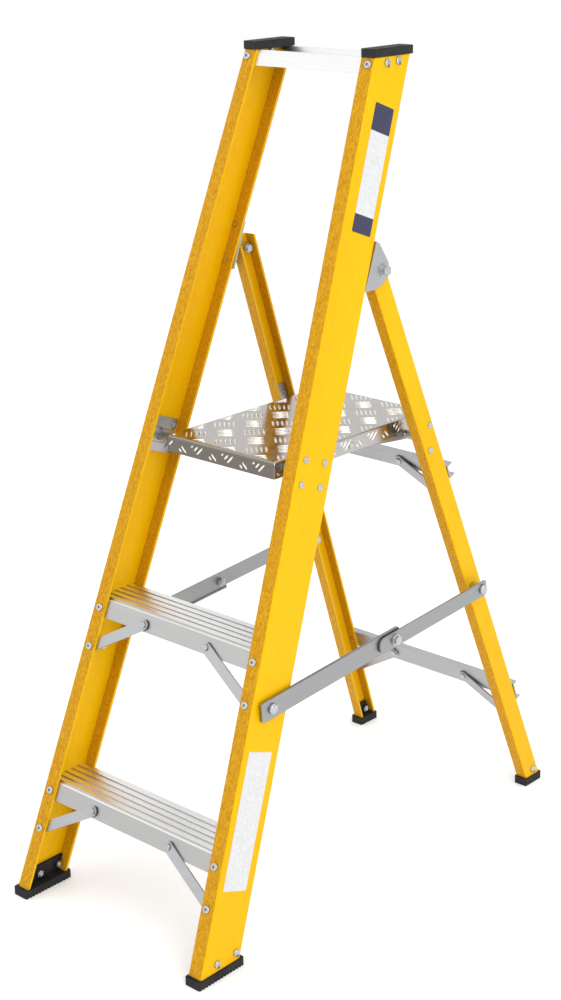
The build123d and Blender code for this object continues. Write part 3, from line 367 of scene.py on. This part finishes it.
def five_bar_pattern():
    """The plate's raised bars. The pattern runs on over the bends, as on a sheet that was folded."""
    low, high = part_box("platform_tray")
    width, depth, length = (high - low).xzy
    mesh = bmesh.new()
    z_axis = Vector((0, 0, 1))
    corner = Vector((low.x, low.y, high.z))
    right = Vector((high.x, low.y, high.z + width))
    rear = length - SHEET_EDGE
    foot = depth - SHEET_EDGE
    bars_on(mesh, corner, X_AXIS, Y_AXIS, (SHEET_EDGE, FRONT_BEND), (width - SHEET_EDGE, rear))
    bars_on(mesh, corner, X_AXIS, z_axis, (SHEET_EDGE, -foot), (width - SHEET_EDGE, -FRONT_BEND))
    bars_on(mesh, corner, z_axis, Y_AXIS, (-foot, FRONT_BEND), (-SHEET_EDGE, rear))
    bars_on(mesh, right, z_axis * -1, Y_AXIS, (width + SHEET_EDGE, FRONT_BEND), (width + foot, rear))
    bmesh.ops.recalc_face_normals(mesh, faces=mesh.faces)
    new_piece("five_bar_pattern", mesh, bar_metal, "platform")


def islands(node):
    """The separate solids of a node, each as a list of its points."""
    data = frame["nodes"][node].data
    keys = [tuple(round(c, POINT_DIGITS) for c in vertex.co) for vertex in data.vertices]
    owner = {key: key for key in keys}

    def root(key):
        while owner[key] != key:
            owner[key] = owner[owner[key]]
            key = owner[key]
        return key

    for edge in data.edges:
        owner[root(keys[edge.vertices[0]])] = root(keys[edge.vertices[1]])
    groups = {}
    for key in owner:
        groups.setdefault(root(key), []).append(Vector(key))
    return list(groups.values())


def crown(points, outward):
    """Middle of the outermost face of a fastener's head."""
    reach = max(point.dot(outward) for point in points)
    top = [point for point in points if point.dot(outward) > reach - CROWN_REACH]
    return sum(top, Vector()) / len(top)


def cross_recess(mesh, centre, outward):
    """Painted shade of a cross-shaped recess: a thin dark plus that barely stands on the head's crown."""
    first = outward.orthogonal().normalized()
    second = outward.cross(first)
    a, b = RECESS_ARM, RECESS_HALF_WIDTH
    outline = [(b, b), (b, a), (-b, a), (-b, b), (-a, b), (-a, -b), (-b, -b), (-b, -a), (b, -a), (b, -b),
               (a, -b), (a, b)]
    low = [mesh.verts.new(centre + first * u + second * v - outward * RECESS_THICK / 2) for u, v in outline]
    high = [mesh.verts.new(centre + first * u + second * v + outward * RECESS_THICK / 2) for u, v in outline]
    for index in range(len(outline)):
        following = (index + 1) % len(outline)
        mesh.faces.new((low[index], low[following], high[following], high[index]))
    mesh.faces.new(low[::-1])
    mesh.faces.new(high)


def screw_recesses(node, body, outward_of):
    """The painted recess shade on every screw of a node."""
    mesh = bmesh.new()
    for points in islands(node):
        outward = outward_of(points)
        cross_recess(mesh, crown(points, outward), outward)
    bmesh.ops.recalc_face_normals(mesh, faces=mesh.faces)
    new_piece(node + "_painted_recess_shades", mesh, recess, body)


def forward(points):
    """Direction that a flange screw's head faces, whichever side it is on."""
    return FRONT_NORMAL * -1


def sideways(points):
    """Direction that a web bolt's head faces: away from the ladder's middle."""
    return X_AXIS if points[0].x > 0 else X_AXIS * -1


# ---- stage --------------------------------------------------------------------------------
def floor_and_world():
    """White floor and an even white surround."""
    bpy.ops.mesh.primitive_plane_add(size=FLOOR_SIZE, location=(0, 0, 0))
    floor = bpy.context.object
    floor.name = "floor"
    made, tree, shader = new_material("pale_floor", Roughness=0.9, Emission_Strength=FLOOR_GLOW)
    patches = grain(tree, (3, 3, 3), detail=2.0)
    tree.links.new(mix(tree, patches, srgb(246, 246, 246), srgb(250, 250, 250)), shader.inputs["Base Color"])
    shader.inputs["Emission Color"].default_value = WHITE
    floor.data.materials.append(made)
    world = bpy.data.worlds.new("studio")
    world.use_nodes = True
    background = world.node_tree.nodes["Background"].inputs
    background["Color"].default_value = WHITE
    background["Strength"].default_value = WORLD_STRENGTH
    bpy.context.scene.world = world
    bpy.context.scene.view_settings.view_transform = "Standard"


def softbox(name, place, size, power):
    """Square area light that faces the middle of the ladder."""
    light = bpy.data.lights.new(name, "AREA")
    light.shape = "RECTANGLE"
    light.size = light.size_y = size
    light.energy = power
    lamp = bpy.data.objects.new(name, light)
    bpy.context.scene.collection.objects.link(lamp)
    lamp.location = place
    lamp.rotation_euler = (LIGHT_AIM - Vector(place)).to_track_quat("-Z", "Y").to_euler()


def camera():
    """Camera from its place, yaw, pitch and roll."""
    forward_axis = Vector((-math.sin(CAMERA_YAW) * math.cos(CAMERA_PITCH),
                           math.cos(CAMERA_YAW) * math.cos(CAMERA_PITCH), math.sin(CAMERA_PITCH)))
    level_right = forward_axis.cross(Vector((0, 0, 1))).normalized()
    level_up = level_right.cross(forward_axis)
    right = level_right * math.cos(CAMERA_ROLL) + level_up * math.sin(CAMERA_ROLL)
    up = level_up * math.cos(CAMERA_ROLL) - level_right * math.sin(CAMERA_ROLL)
    turn = Matrix((right, up, forward_axis * -1)).transposed()
    lens = bpy.data.cameras.new("camera")
    lens.lens = CAMERA_LENS
    eye = bpy.data.objects.new("camera", lens)
    eye.matrix_world = Matrix.Translation(CAMERA_PLACE) @ turn.to_4x4()
    bpy.context.scene.collection.objects.link(eye)
    bpy.context.scene.camera = eye


recess = recess_shade_material()
camera()
paint_nodes()
five_bar_pattern()
screw_recesses("flange_screws", "front_frame", forward)
for node in ("rail_bolts", "front_foot_bolts", "rear_foot_bolts"):
    screw_recesses(node, "rear_frame" if node.startswith("rear") else "front_frame", sideways)
floor_and_world()
for name, settings in SOFTBOXES.items():
    softbox(name, *settings)
